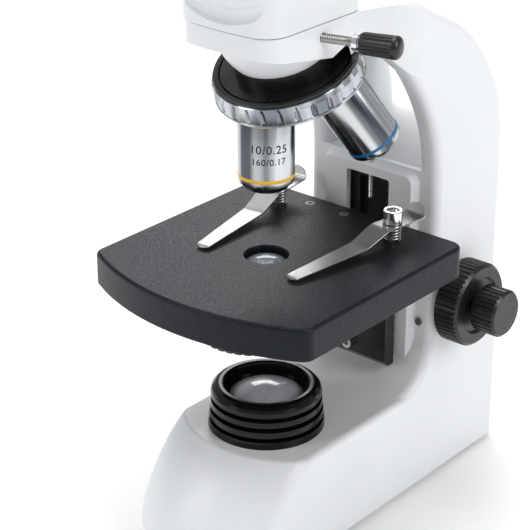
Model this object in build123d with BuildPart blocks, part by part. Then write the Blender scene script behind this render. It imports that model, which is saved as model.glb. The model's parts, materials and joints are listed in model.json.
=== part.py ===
from build123d import *
from math import cos, pi, radians, sin, sqrt
import os

os.makedirs("parts", exist_ok=True)

# A student compound microscope. Millimetres, +Z up. X = Y = 0 is the optical axis, Z = 0 the desk.
# The arm stands at +Y and the observer sits at -Y.

# ---- driving dimensions -------------------------------------------------------------------------
FIT = 0.05                # radial clearance of a running fit
GAP = 0.3                 # clearance between faces that move past each other
WALL = 4.0

FOOT_H = 2.5              # rubber feet
DECK_Z = 51.5             # flat top of the base
STAGE_Z = 132.8           # top face of the stage at rest, its lowest working height
SEAM_Z = 238.3            # top face of the arm, where the head sits
HALF_W = 36.0             # half width of base, column and arm
COLUMN_Y = 73.8           # front face of the column
BACK_Y = 126.0            # back of the column
BASE_BACK_Y = 131.0       # back of the base
FRONT_R = 68.0            # the front face curves down and outwards on this radius ...
FRONT_CENTRE_Y = 21.9     # ... about this line
FRONT_CENTRE_Z = -5.2
TUCK_Z = 14.0             # below this height the front turns back under
TUCK = 0.0295
BOW_R = 49.3              # the front edge bows forward on this radius in plan
DECK_R = 24.0             # concave sweep from the deck into the column
ARM_WALL = 11.0           # side walls of the arm
NOSE_HALF_W = 25.0        # the arm's nose carries the head and the nosepiece
NOSE_Y = -27.0            # front of the nose
FLARE_Y = 22.0            # behind this line the nose widens into the side walls
FLARE_END_Y = 64.0
FLARE_HALF_W = HALF_W + 0.4

FRAME_Y = 70.4            # raised frame round the focus slot
FRAME_HALF_W = 24.0
FRAME_TOP_Z = 152.8
SLOT_HALF_W = 12.0
SLOT_BOTTOM_Z = 61.0
SLOT_TOP_Z = 147.8
CAVITY_TOP_Z = 150.0

FOCUS_Y = 88.2            # focus shaft
FOCUS_Z = 91.8
MODULE = 1.0              # rack and pinion
TEETH = 12
PITCH_R = MODULE * TEETH / 2
TOOTH_TIP = 0.85 * MODULE
TOOTH_ROOT = 1.25 * MODULE
TRAVEL_UP = 21.5          # stage travel above rest

STAGE_HALF_W = 58.9
STAGE_BACK_Y = 63.4
STAGE_FRONT_Y = -59.5
STAGE_CORNER_Y = -44.0
STAGE_H = 14.2
CLIP_X = 32.0             # clip pivots
CLIP_Y = 46.5
CLIP_Z = STAGE_Z + 7.9    # middle of the flat clip strip
CLIP_T = 0.7

APEX_Z = 247.5            # where the objectives' axes meet
TURRET_TILT = 20.4        # tilt of the nosepiece axis, degrees
SOCKET_R = 17.5           # round seat of the head in the arm
SOCKET_Z = 230.2
LOCK_ANGLE = 15.5         # lock screw, turned from +X towards the arm
LOCK_Y = -1.6
LOCK_Z = 232.8
PIVOT_Z = 265.0           # height where the optical axis turns towards the eyepiece
TUBE_ANGLE = 45

APEX = Vector(0, 0, APEX_Z)
TURRET_AXIS = Vector(0, -sin(radians(TURRET_TILT)), cos(radians(TURRET_TILT)))
TURRET_LINE = Axis(APEX, TURRET_AXIS)
TURRET_PLANE = Plane(origin=APEX, x_dir=(1, 0, 0), z_dir=Vector(1, 0, 0).cross(TURRET_AXIS))
TUBE_AXIS = Vector(0, -cos(radians(TUBE_ANGLE)), sin(radians(TUBE_ANGLE)))
TUBE_LINE = Axis((0, 0, PIVOT_Z), TUBE_AXIS)
TUBE_PLANE = Plane(origin=(0, 0, PIVOT_Z), x_dir=(1, 0, 0), z_dir=Vector(1, 0, 0).cross(TUBE_AXIS))
LOCK_DIR = Vector(cos(radians(LOCK_ANGLE)), sin(radians(LOCK_ANGLE)), 0)
LOCK_LINE = Axis((0, LOCK_Y, LOCK_Z), LOCK_DIR)
LOCK_PLANE = Plane(origin=(0, LOCK_Y, LOCK_Z), x_dir=(0, 0, 1), z_dir=Vector(0, 0, 1).cross(LOCK_DIR))
FOCUS_LINE = Axis((0, FOCUS_Y, FOCUS_Z), (1, 0, 0))
FOCUS_PLANE = Plane(origin=(0, FOCUS_Y, FOCUS_Z), x_dir=(0, 0, 1), z_dir=(0, 1, 0))


def ring(inner, outer, low, high):
    """A rectangle beside the local Y axis, to be revolved into a ring."""
    with Locations(((inner + outer) / 2, (low + high) / 2)):
        Rectangle(outer - inner, high - low)


def outline(*points):
    """A closed straight-sided outline."""
    Polygon(*points, align=None)


def lens_outline(radius, low, rim, top):
    """Half section of a plano-convex lens, flat face down."""
    ball = (radius**2 + (top - rim) ** 2) / (2 * (top - rim))
    middle = top - ball + sqrt(ball**2 - radius**2 / 4)
    with BuildSketch(Plane.XZ) as half:
        with BuildLine():
            Polyline((0, top), (0, low), (radius, low), (radius, rim))
            ThreePointArc((radius, rim), (radius / 2, middle), (0, top))
        make_face()
    return half.sketch


# ---- stand: base, column and arm in one casting -------------------------------------------------
BASE_SECTIONS = (FOOT_H, 8.0, 14.0, 27.0, 39.0, DECK_Z)
CAVITY_SECTIONS = (FOOT_H, 8.0, 14.0, 27.0, 39.0, DECK_Z - WALL)
POSTS = [(27, -8), (-27, -8), (27, 94), (-27, 94)]
POST_R = 4.5
SCREW_R = 1.5
CORE_HALF_W = HALF_W - ARM_WALL / 2
BASE_BLOCK_Y = 95.0
LAMP_SPIGOT_R = 14.0
GUIDE_HALF_W = 20.0
JACK_X = 20.0
SWITCH_X = -14.0
SOCKET_ROW_Z = 16.0
DIMMER_Y = 34.0
DIMMER_Z = 27.0
STOP_Y = 73.3
COLUMN_SCREWS = [(29, 82), (-29, 82)]


def base_outline(height, inset, back_y):
    """Plan of the base at one height, drawn inwards by the inset."""
    half = HALF_W - inset
    reach = sqrt(FRONT_R**2 - (height - FRONT_CENTRE_Z) ** 2)
    tuck = TUCK * max(0, TUCK_Z - height) ** 2
    corner_y = FRONT_CENTRE_Y - reach + inset + tuck
    bow = BOW_R - sqrt(BOW_R**2 - HALF_W**2)
    with BuildSketch(Plane.XY.offset(height)) as plan:
        with BuildLine():
            ThreePointArc((-half, corner_y), (0, corner_y - bow), (half, corner_y))
            Polyline((half, corner_y), (half, back_y), (-half, back_y), (-half, corner_y))
        make_face()
    return plan.sketch


def arm_profile(from_x):
    """Side view of column and arm: a C, open towards the observer."""
    with BuildSketch(Plane.YZ.offset(from_x)) as side:
        with BuildLine():
            CenterArc((COLUMN_Y - DECK_R, DECK_Z + DECK_R), DECK_R, -90, 90)
            Line((COLUMN_Y, DECK_Z + DECK_R), (COLUMN_Y, 148))
            Spline((COLUMN_Y, 148), (70.9, 172), (58.7, 196.9), (44, 214.6),
                   tangents=[(0, 1), (-0.7, 0.7)])
            Polyline((44, 214.6), (39.5, 218.1), (NOSE_Y - 3, 229.9), (NOSE_Y - 3, SEAM_Z), (50, SEAM_Z))
            Spline((50, SEAM_Z), (65.2, 232.7), (95, 216.3), (115.5, 193), (BACK_Y, 150),
                   tangents=[(1, 0), (0, -1)])
            Line((BACK_Y, 150), (BACK_Y, 100))
            Spline((BACK_Y, 100), (BASE_BACK_Y, DECK_Z), tangents=[(0, -1), (0, -1)])
            Polyline((BASE_BACK_Y, DECK_Z), (BASE_BACK_Y, FOOT_H), (COLUMN_Y - DECK_R, FOOT_H),
                     (COLUMN_Y - DECK_R, DECK_Z))
        make_face()
    return side.sketch


def beside_nose():
    """Plan of the space on both sides of the arm's nose, which flares into the side walls."""
    with BuildSketch(Plane.XY.offset(196)) as nose:
        with BuildLine():
            ThreePointArc((-NOSE_HALF_W, NOSE_Y + 1), (0, NOSE_Y - 1), (NOSE_HALF_W, NOSE_Y + 1))
            Line((NOSE_HALF_W, NOSE_Y + 1), (NOSE_HALF_W, FLARE_Y))
            Spline((NOSE_HALF_W, FLARE_Y), (FLARE_HALF_W, FLARE_END_Y), tangents=[(0, 1), (0, 1)])
            Line((FLARE_HALF_W, FLARE_END_Y), (-FLARE_HALF_W, FLARE_END_Y))
            Spline((-FLARE_HALF_W, FLARE_END_Y), (-NOSE_HALF_W, FLARE_Y), tangents=[(0, -1), (0, -1)])
            Line((-NOSE_HALF_W, FLARE_Y), (-NOSE_HALF_W, NOSE_Y + 1))
        make_face()
        fillet(nose.vertices().filter_by_position(Axis.Y, NOSE_Y, NOSE_Y + 2), 11)
    with BuildSketch(Plane.XY.offset(196)) as outside:
        with Locations((0, FLARE_END_Y - 54)):
            Rectangle(96, 108)
        add(nose.sketch_local, mode=Mode.SUBTRACT)
    return outside.sketch


def front_corner(edge):
    """An upright edge at the front of the base."""
    return abs(edge.center().X) > 30 and edge.center().Y < -10 and abs((edge @ 0).Z - (edge @ 1).Z) > 40


def deck_edge(edge):
    """An edge round the deck, except the one inside the arm."""
    level = abs((edge @ 0).Z - DECK_Z) < 0.1 and abs((edge @ 1).Z - DECK_Z) < 0.1
    return level and edge.center().Y < BASE_BLOCK_Y - 1


def long_edge(edge):
    """An edge of a side wall's rounded outline, front or back."""
    middle = edge @ 0.5
    along = abs((edge @ 0).X - (edge @ 1).X) < 0.001
    at_front = 50 < middle.Y < 80 and DECK_Z < middle.Z < 216
    at_back = middle.Y > 85 and middle.Z > FOOT_H + 1
    at_top = middle.Z > SEAM_Z - 0.1
    return along and (at_front or at_back or at_top)


# the base block ends inside the arm, whose back it shares
with BuildPart() as base:
    loft([base_outline(height, 0, BASE_BLOCK_Y) for height in BASE_SECTIONS])
    fillet(base.edges().filter_by(front_corner), 7)
    fillet(base.edges().filter_by(deck_edge), 2.5)

# the middle of the arm, with the carrying opening between column and nose
with BuildPart() as core:
    extrude(arm_profile(-CORE_HALF_W), amount=2 * CORE_HALF_W)
    with BuildSketch(Plane.YZ.offset(-HALF_W)) as opening:
        outline((50, 155.2), (76, 155.2), (118, 162.3), (140, 162.3), (140, 178), (118, 187.5),
                (41, 217.6), (20, 200))
        fillet(opening.vertices().filter_by_position(Axis.X, 117, 119), 6)
    extrude(amount=2 * HALF_W, mode=Mode.SUBTRACT)
    fillet(core.edges().filter_by(lambda e: abs(e.center().X) < 0.001 and e.length > 50
                                  and e.center().Y > 119 and 151 < e.center().Z < 190), 5)

with BuildPart() as stand:
    # rounded side walls
    extrude(arm_profile(HALF_W - ARM_WALL), amount=ARM_WALL)
    fillet(stand.edges().filter_by(long_edge).filter_by(lambda e: e.center().Y < 80 and e.center().Z < 216),
           4.5)
    fillet(stand.edges().filter_by(long_edge).filter_by(lambda e: e.center().Y > 80 or e.center().Z > 216),
           5)
    mirror(about=Plane.YZ)
    add(core.part)
    add(base.part)
    extrude(beside_nose(), amount=60, mode=Mode.SUBTRACT)
    # raised frame round the focus slot
    with BuildSketch(Plane.XZ.offset(-COLUMN_Y)):
        with Locations((0, (FRAME_TOP_Z + DECK_Z) / 2)):
            RectangleRounded(2 * FRAME_HALF_W + 5, FRAME_TOP_Z - DECK_Z + 3, 6)
    extrude(amount=COLUMN_Y - FRAME_Y, taper=36)
    # round boss under the nose for the nosepiece
    with BuildSketch(TURRET_PLANE):
        with BuildLine():
            Polyline((20.6, -27.2), (0, -27.2), (0, -12), (25, -12), (25, -13))
            ThreePointArc((25, -13), (23.7, -21), (20.6, -27.2))
        make_face()
    revolve(axis=TURRET_LINE)
    with BuildSketch(Plane.XY.offset(SEAM_Z)):
        Rectangle(80, 80)
    extrude(amount=20, mode=Mode.SUBTRACT)
    # recess for the turning nosepiece
    with BuildSketch(TURRET_PLANE):
        ring(0, 28.2, -34, -27.2)
        ring(0, 33.4, -70, -33)
    revolve(axis=TURRET_LINE, mode=Mode.SUBTRACT)
    # hollow base and column
    loft([base_outline(height, WALL, BASE_BACK_Y - WALL) for height in CAVITY_SECTIONS],
         mode=Mode.SUBTRACT)
    with BuildSketch(Plane.XY.offset(FOOT_H + 10)):
        outline((-26, 78), (26, 78), (26, BACK_Y - 5), (-26, BACK_Y - 5))
        with Locations((0, 77)):
            Rectangle(2 * GUIDE_HALF_W, 2 * (77 - COLUMN_Y))
    extrude(amount=CAVITY_TOP_Z - FOOT_H - 10, mode=Mode.SUBTRACT)
    with BuildSketch(Plane.XY.offset(FOOT_H + 2)):
        with Locations(*POSTS):
            Circle(POST_R)
    extrude(amount=DECK_Z - FOOT_H - 4)
    with BuildSketch(Plane.XY.offset(FOOT_H + 2)):
        with Locations(*POSTS):
            Circle(SCREW_R)
    extrude(amount=12, mode=Mode.SUBTRACT)
    # focus slot in the frame, and the hole for its stop screw
    with BuildSketch(Plane.XZ.offset(-COLUMN_Y - 1)):
        with Locations((0, (SLOT_BOTTOM_Z + SLOT_TOP_Z) / 2)):
            RectangleRounded(2 * SLOT_HALF_W, SLOT_TOP_Z - SLOT_BOTTOM_Z, 1.5)
    extrude(amount=30, mode=Mode.SUBTRACT)
    # bores: optical path, head seat, lamp, focus shaft, nosepiece screw and lock screw
    with BuildSketch(Plane.XZ):
        ring(0, 8.5, 205, SEAM_Z)
        ring(0, SOCKET_R, SOCKET_Z, SEAM_Z + 1)
        ring(0, LAMP_SPIGOT_R, DECK_Z - WALL - 1, DECK_Z + 1)
    revolve(axis=Axis.Z, mode=Mode.SUBTRACT)
    with BuildSketch(FOCUS_PLANE):
        ring(0, 7, -HALF_W - 1, HALF_W + 1)
    revolve(axis=FOCUS_LINE, mode=Mode.SUBTRACT)
    with BuildSketch(TURRET_PLANE):
        ring(0, 3, -28, -20)
    revolve(axis=TURRET_LINE, mode=Mode.SUBTRACT)
    with BuildSketch(LOCK_PLANE):
        ring(0, 2 + FIT, SOCKET_R - 1, 40)
    revolve(axis=LOCK_LINE, mode=Mode.SUBTRACT)
    # back of the base: power jack and switch; left side: dimmer
    with BuildSketch(Plane.XZ.offset(-BASE_BACK_Y - 1)):
        with Locations((JACK_X, SOCKET_ROW_Z)):
            Circle(4)
        with Locations((SWITCH_X, SOCKET_ROW_Z)):
            Rectangle(13, 9.5)
    extrude(amount=8, mode=Mode.SUBTRACT)
    with BuildSketch(Plane.YZ.offset(-HALF_W - 1)):
        with Locations((DIMMER_Y, DIMMER_Z)):
            Circle(3 + FIT)
    extrude(amount=8, mode=Mode.SUBTRACT)
    # screw holes: stop screw above the slot, two screws beside the frame
    with BuildSketch(Plane.XY.offset(SLOT_TOP_Z - 1)):
        with Locations((0, STOP_Y)):
            Circle(1.45)
    extrude(amount=8, mode=Mode.SUBTRACT)
    with BuildSketch(Plane.XZ.offset(-COLUMN_Y)):
        with Locations(*COLUMN_SCREWS):
            Circle(SCREW_R)
    extrude(amount=-10, mode=Mode.SUBTRACT)
stand.part.label = "stand"
export_step(stand.part, "parts/stand.step")

# ---- fixed parts of the base --------------------------------------------------------------------
PLATE_T = 2.0
FEET = [(26, -26), (-26, -26), (24, 118), (-24, 118)]

with BuildPart() as base_plate:
    extrude(base_outline(FOOT_H, WALL + 0.6, BASE_BACK_Y - WALL - GAP), amount=PLATE_T)
    with BuildSketch(Plane.XY.offset(FOOT_H)):
        with Locations(*POSTS):
            Circle(SCREW_R + 0.2)
    extrude(amount=PLATE_T, mode=Mode.SUBTRACT)
base_plate.part.label = "base_plate"
export_step(base_plate.part, "parts/base_plate.step")

with BuildPart() as base_plate_screws:
    with BuildSketch(Plane.XY.offset(FOOT_H)):
        with Locations(*POSTS):
            Circle(3)
    extrude(amount=-1.4)
    with BuildSketch(Plane.XY.offset(FOOT_H)):
        with Locations(*POSTS):
            Circle(SCREW_R - FIT)
    extrude(amount=11)
    with BuildSketch(Plane.XY.offset(FOOT_H - 1.4)):
        with Locations(*POSTS):
            Rectangle(4, 0.8)
            Rectangle(0.8, 4)
    extrude(amount=0.7, mode=Mode.SUBTRACT)
base_plate_screws.part.label = "base_plate_screws"
export_step(base_plate_screws.part, "parts/base_plate_screws.step")

with BuildPart() as rubber_feet:
    with BuildSketch(Plane.XY):
        with Locations(*FEET):
            Circle(8)
    extrude(amount=FOOT_H)
    chamfer(rubber_feet.faces().filter_by_position(Axis.Z, -0.1, 0.1).edges(), 0.6)
rubber_feet.part.label = "rubber_feet"
export_step(rubber_feet.part, "parts/rubber_feet.step")

LAMP_LENS_R = 16.2
LENS_SEAT_Z = 64.8

with BuildPart() as lamp_housing:
    with BuildSketch(Plane.XZ):
        outline((10.5, 46.5), (13.9, 46.5), (13.9, DECK_Z), (25.9, DECK_Z), (25.6, 54.8), (21.5, 54.8),
                (21.5, 56.8), (25.4, 56.8), (25.2, 59.4), (21.5, 59.4), (21.5, 61.6), (24.95, 61.6),
                (24.7, 64), (21.5, 64), (21.5, 66.2), (24.6, 66.2), (24.5, 68.3), (23.9, 69.6),
                (22.6, 70.8), (21, 71.4), (19.6, 71.4), (18.9, 70.9), (18.6, 70),
                (18.6, LENS_SEAT_Z + 0.5), (LAMP_LENS_R + 0.1, LENS_SEAT_Z + 0.5),
                (LAMP_LENS_R + 0.1, LENS_SEAT_Z), (12.2, LENS_SEAT_Z), (12.2, 55.5), (10.5, 55.5))
    revolve(axis=Axis.Z)
lamp_housing.part.label = "lamp_housing"
export_step(lamp_housing.part, "parts/lamp_housing.step")

with BuildPart() as lamp_lens:
    revolve(lens_outline(LAMP_LENS_R, LENS_SEAT_Z, LENS_SEAT_Z + 1.1, 70.6), axis=Axis.Z)
lamp_lens.part.label = "lamp_lens"
export_step(lamp_lens.part, "parts/lamp_lens.step")

with BuildPart() as lamp_led:
    with BuildSketch(Plane.XZ):
        ring(0, 12, 55.5, 57.1)
        ring(0, 3, 57.1, 59.5)
    revolve(axis=Axis.Z)
lamp_led.part.label = "lamp_led"
export_step(lamp_led.part, "parts/lamp_led.step")

with BuildPart() as power_jack:
    with BuildSketch(Plane.XZ.offset(-BASE_BACK_Y + WALL)):
        with Locations((JACK_X, SOCKET_ROW_Z)):
            Rectangle(9, 9)
    extrude(amount=14)
    with BuildSketch(Plane.XZ.offset(-BASE_BACK_Y - 1)):
        with Locations((JACK_X, SOCKET_ROW_Z)):
            Circle(5.5)
    extrude(amount=1)
    with BuildSketch(Plane.XZ.offset(-BASE_BACK_Y - 1)):
        with Locations((JACK_X, SOCKET_ROW_Z)):
            Circle(3.9)
    extrude(amount=WALL + 1)
    with BuildSketch(Plane.XZ.offset(-BASE_BACK_Y - 1)):
        with Locations((JACK_X, SOCKET_ROW_Z)):
            Circle(2.8)
            Circle(1, mode=Mode.SUBTRACT)
    extrude(amount=10, mode=Mode.SUBTRACT)
power_jack.part.label = "power_jack"
export_step(power_jack.part, "parts/power_jack.step")

with BuildPart() as switch_bezel:
    with BuildSketch(Plane.XZ.offset(-BASE_BACK_Y - 1)):
        with Locations((SWITCH_X, SOCKET_ROW_Z)):
            RectangleRounded(15.4, 12, 1.2)
    extrude(amount=1)
    with BuildSketch(Plane.XZ.offset(-BASE_BACK_Y)):
        with Locations((SWITCH_X, SOCKET_ROW_Z)):
            Rectangle(12.9, 9.4)
    extrude(amount=12)
    with BuildSketch(Plane.XZ.offset(-BASE_BACK_Y - 1)):
        with Locations((SWITCH_X, SOCKET_ROW_Z)):
            Rectangle(11.8, 7.9)
    extrude(amount=11, mode=Mode.SUBTRACT)
switch_bezel.part.label = "switch_bezel"
export_step(switch_bezel.part, "parts/switch_bezel.step")

with BuildPart() as switch_rocker:
    with BuildSketch(Plane.XY.offset(SOCKET_ROW_Z - 3.6)):
        with Locations(Location((SWITCH_X, BASE_BACK_Y - 2, 0), (0, 0, 8))):
            outline((-5.2, 3.6), (-5.2, -2.5), (5.2, -2.5), (5.2, 3.6), (0, 2.4))
    extrude(amount=7.2)
switch_rocker.part.label = "switch_rocker"
export_step(switch_rocker.part, "parts/switch_rocker.step")

DIMMER_LINE = Axis((0, DIMMER_Y, DIMMER_Z), (1, 0, 0))
DIMMER_PLANE = Plane(origin=(0, DIMMER_Y, DIMMER_Z), x_dir=(0, 0, 1), z_dir=(0, 1, 0))

with BuildPart() as dimmer_wheel:
    with BuildSketch(DIMMER_PLANE):
        ring(0, 9, -HALF_W - 9.5, -HALF_W - 0.5)
        ring(0, 3, -HALF_W - 0.5, -28)
    revolve(axis=DIMMER_LINE)
    chamfer(dimmer_wheel.edges().filter_by(GeomType.CIRCLE).group_by(Axis.X)[0], 1)
    with BuildSketch(Plane.YZ.offset(-HALF_W - 9.5)):
        with Locations((DIMMER_Y, DIMMER_Z)):
            with PolarLocations(9.4, 18):
                Circle(0.9)
    extrude(amount=9, mode=Mode.SUBTRACT)
dimmer_wheel.part.label = "dimmer_wheel"
export_step(dimmer_wheel.part, "parts/dimmer_wheel.step")

# ---- focus slide --------------------------------------------------------------------------------
NECK_HALF_W = 8.3
FLANGE_HALF_W = 13.0
FLANGE_Y = 77.9
SLIDE_BACK_Y = 80.1
SLIDE_Z = 64.0
SLIDE_TOP_Z = 114.3
BRACKET_Y = 60.0
SLIDE_Y = 66.9
SCREW_ROW = (68.0, 98.0)

with BuildPart() as slide_guide:
    with BuildSketch(Plane.XY.offset(52)):
        with Locations((0, 79.5)):
            Rectangle(39.8, 7)
        with Locations((17, 74.9), (-17, 74.9)):
            Rectangle(5.8, 2.2)
    extrude(amount=97.9)
    with BuildSketch(Plane.XY.offset(58)):
        with Locations((0, 79.5)):
            Rectangle(17.4, 7)
        with Locations((0, 79)):
            Rectangle(26.4, 2.6)
    extrude(amount=86, mode=Mode.SUBTRACT)
slide_guide.part.label = "slide_guide"
export_step(slide_guide.part, "parts/slide_guide.step")

with BuildPart() as guide_screws:
    with BuildSketch(Plane.XZ.offset(-COLUMN_Y)):
        with Locations(*COLUMN_SCREWS):
            Circle(1.9)
    extrude(amount=1)
    with BuildSketch(Plane.XZ.offset(-COLUMN_Y)):
        with Locations(*COLUMN_SCREWS):
            Circle(SCREW_R - FIT)
    extrude(amount=-9)
guide_screws.part.label = "guide_screws"
export_step(guide_screws.part, "parts/guide_screws.step")

with BuildPart() as stop_screw:
    with BuildSketch(Plane.XY.offset(SLIDE_TOP_Z + TRAVEL_UP + GAP)):
        with Locations((0, STOP_Y)):
            Circle(1.4)
    extrude(amount=18)
stop_screw.part.label = "stop_screw"
export_step(stop_screw.part, "parts/stop_screw.step")

with BuildPart() as shaft_bushes:
    with BuildSketch(FOCUS_PLANE):
        ring(4 + FIT, 7, 26, 37.5)
        ring(4 + FIT, 7, -37.5, -26)
    revolve(axis=FOCUS_LINE)
shaft_bushes.part.label = "shaft_bushes"
export_step(shaft_bushes.part, "parts/shaft_bushes.step")

with BuildPart() as stage_slide:
    with BuildSketch(Plane.XY.offset(SLIDE_Z)):
        with Locations((0, (SLIDE_Y + SLIDE_BACK_Y) / 2)):
            Rectangle(2 * NECK_HALF_W, SLIDE_BACK_Y - SLIDE_Y)
        with Locations((0, (FLANGE_Y + SLIDE_BACK_Y) / 2)):
            Rectangle(2 * FLANGE_HALF_W, SLIDE_BACK_Y - FLANGE_Y)
        with Locations((0, SLIDE_BACK_Y)):
            Rectangle(10.1, 2, mode=Mode.SUBTRACT)
    extrude(amount=SLIDE_TOP_Z - SLIDE_Z)
    with BuildSketch(Plane.XZ.offset(-SLIDE_Y)):
        with Locations(*[(0, height) for height in SCREW_ROW]):
            Circle(SCREW_R)
    extrude(amount=-10, mode=Mode.SUBTRACT)
stage_slide.part.label = "stage_slide"
export_step(stage_slide.part, "parts/stage_slide.step")

RACK_PITCH = pi * MODULE
RACK_LINE_Y = FOCUS_Y - PITCH_R
RACK_Z = 64.3
RACK_TOP_Z = 104.5
TOOTH_HALF = 0.62         # half thickness of a tooth on the pitch line
FLANK = 0.364             # slope of a straight flank

with BuildPart() as rack:
    with BuildSketch(Plane.YZ.offset(-5)):
        with Locations(((79.1 + RACK_LINE_Y - TOOTH_ROOT) / 2, (RACK_Z + RACK_TOP_Z) / 2)):
            Rectangle(RACK_LINE_Y - TOOTH_ROOT - 79.1, RACK_TOP_Z - RACK_Z)
        with Locations(*[(RACK_LINE_Y, FOCUS_Z + (count + 0.5) * RACK_PITCH) for count in range(-8, 4)]):
            outline((-TOOTH_ROOT - 0.1, -TOOTH_HALF - FLANK * TOOTH_ROOT),
                    (TOOTH_TIP, -TOOTH_HALF + FLANK * TOOTH_TIP),
                    (TOOTH_TIP, TOOTH_HALF - FLANK * TOOTH_TIP),
                    (-TOOTH_ROOT - 0.1, TOOTH_HALF + FLANK * TOOTH_ROOT))
    extrude(amount=10)
rack.part.label = "rack"
export_step(rack.part, "parts/rack.step")

with BuildPart() as pinion:
    with BuildSketch(Plane.YZ.offset(-5.5)):
        with Locations((FOCUS_Y, FOCUS_Z)):
            Circle(PITCH_R - TOOTH_ROOT - 0.05)
            with PolarLocations(0, TEETH, start_angle=180):
                outline((4.4, -0.66), (5.6, -0.66), (6.2, -0.55), (PITCH_R + TOOTH_TIP, -0.24),
                        (PITCH_R + TOOTH_TIP, 0.24), (6.2, 0.55), (5.6, 0.66), (4.4, 0.66))
            Circle(4, mode=Mode.SUBTRACT)
    extrude(amount=11)
pinion.part.label = "pinion"
export_step(pinion.part, "parts/pinion.step")

with BuildPart() as coarse_shaft:
    with BuildSketch(FOCUS_PLANE):
        ring(2 + FIT, 4, -51, 51)
    revolve(axis=FOCUS_LINE)
coarse_shaft.part.label = "coarse_shaft"
export_step(coarse_shaft.part, "parts/coarse_shaft.step")

with BuildPart() as fine_shaft:
    with BuildSketch(FOCUS_PLANE):
        ring(0, 2, -60, 60)
    revolve(axis=FOCUS_LINE)
fine_shaft.part.label = "fine_shaft"
export_step(fine_shaft.part, "parts/fine_shaft.step")

COARSE_R = 19.5
FINE_R = 11.0
COARSE_FLUTES = 48
FINE_FLUTES = 30

for side, direction in (("right", 1), ("left", -1)):
    with BuildPart() as coarse_knob:
        with BuildSketch(FOCUS_PLANE):
            outline((4, direction * 38), (9, direction * 38), (17.5, direction * 38.8),
                    (COARSE_R, direction * 40.3), (COARSE_R, direction * 50.5),
                    (COARSE_R - 1.5, direction * 52), (13.5, direction * 52),
                    (12.5, direction * 50.6), (4, direction * 50.6))
        revolve(axis=FOCUS_LINE)
        with BuildSketch(Plane.YZ.offset(37 * direction)):
            with Locations((FOCUS_Y, FOCUS_Z)):
                with PolarLocations(COARSE_R + 0.3, COARSE_FLUTES):
                    Circle(0.8)
        extrude(amount=16 * direction, mode=Mode.SUBTRACT)
    coarse_knob.part.label = "coarse_knob_" + side
    export_step(coarse_knob.part, "parts/coarse_knob_" + side + ".step")

    with BuildPart() as fine_knob:
        with BuildSketch(FOCUS_PLANE):
            outline((2, direction * 53), (8, direction * 53), (FINE_R, direction * 54.2),
                    (FINE_R, direction * 64.8), (FINE_R - 1.2, direction * 66), (0, direction * 66),
                    (0, direction * 60), (2, direction * 60))
        revolve(axis=FOCUS_LINE)
        with BuildSketch(Plane.YZ.offset(52.5 * direction)):
            with Locations((FOCUS_Y, FOCUS_Z)):
                with PolarLocations(FINE_R + 0.25, FINE_FLUTES):
                    Circle(0.7)
        extrude(amount=14 * direction, mode=Mode.SUBTRACT)
    fine_knob.part.label = "fine_knob_" + side
    export_step(fine_knob.part, "parts/fine_knob_" + side + ".step")

# ---- stage --------------------------------------------------------------------------------------
STAGE_UNDER_Z = STAGE_Z - STAGE_H
STAGE_TOP_T = 4.0
BOSS_TOP_Z = STAGE_Z - STAGE_TOP_T
STAGE_SCREWS = [(-20.9, 55.4), (-1.4, 55.4), (18, 55.4)]
STAGE_SCREW_R = 1.1
STAGE_HEAD_R = 2.2
STUDS = [(CLIP_X, CLIP_Y), (-CLIP_X, CLIP_Y)]
LENS_R = 9.0

with BuildPart() as stage_bracket:
    with BuildSketch(Plane.YZ.offset(-20)):
        outline((BRACKET_Y, 63), (BRACKET_Y + 3, 60), (SLIDE_Y, 60), (SLIDE_Y, STAGE_UNDER_Z),
                (44, STAGE_UNDER_Z), (44, STAGE_UNDER_Z - 6), (54, STAGE_UNDER_Z - 6), (BRACKET_Y, 104))
    extrude(amount=40)
    with BuildSketch(Plane.XY.offset(STAGE_UNDER_Z - 4)):
        with Locations((0, 51.4)):
            RectangleRounded(54, 14.8, 2)
    extrude(amount=BOSS_TOP_Z - STAGE_UNDER_Z + 4)
    with BuildSketch(Plane.XZ.offset(-BRACKET_Y + 1)):
        with Locations(*[(0, height) for height in SCREW_ROW]):
            Circle(SCREW_R + 0.1)
    extrude(amount=-10, mode=Mode.SUBTRACT)
    with BuildSketch(Plane.XY.offset(BOSS_TOP_Z)):
        with Locations(*STAGE_SCREWS):
            Circle(STAGE_SCREW_R)
    extrude(amount=-9, mode=Mode.SUBTRACT)
stage_bracket.part.label = "stage_bracket"
export_step(stage_bracket.part, "parts/stage_bracket.step")

with BuildPart() as bracket_screws:
    with BuildSketch(Plane.XZ.offset(-BRACKET_Y)):
        with Locations(*[(0, height) for height in SCREW_ROW]):
            Circle(2.75)
    extrude(amount=3)
    with BuildSketch(Plane.XZ.offset(-BRACKET_Y)):
        with Locations(*[(0, height) for height in SCREW_ROW]):
            Circle(SCREW_R - FIT)
    extrude(amount=-15)
    with BuildSketch(Plane.XZ.offset(-BRACKET_Y + 3)):
        with Locations(*[(0, height) for height in SCREW_ROW]):
            RegularPolygon(1.45, 6)
    extrude(amount=-1.8, mode=Mode.SUBTRACT)
bracket_screws.part.label = "bracket_screws"
export_step(bracket_screws.part, "parts/bracket_screws.step")


def stage_outline(height, inset):
    """Plan of the stage, drawn inwards by the inset."""
    half = STAGE_HALF_W - inset
    with BuildSketch(Plane.XY.offset(height)) as plan:
        with BuildLine():
            ThreePointArc((-half, STAGE_CORNER_Y + inset), (0, STAGE_FRONT_Y + inset),
                          (half, STAGE_CORNER_Y + inset))
            Polyline((half, STAGE_CORNER_Y + inset), (half, STAGE_BACK_Y - inset),
                     (-half, STAGE_BACK_Y - inset), (-half, STAGE_CORNER_Y + inset))
        make_face()
        fillet(plan.vertices(), 6 - inset / 2)
    return plan.sketch


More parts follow.
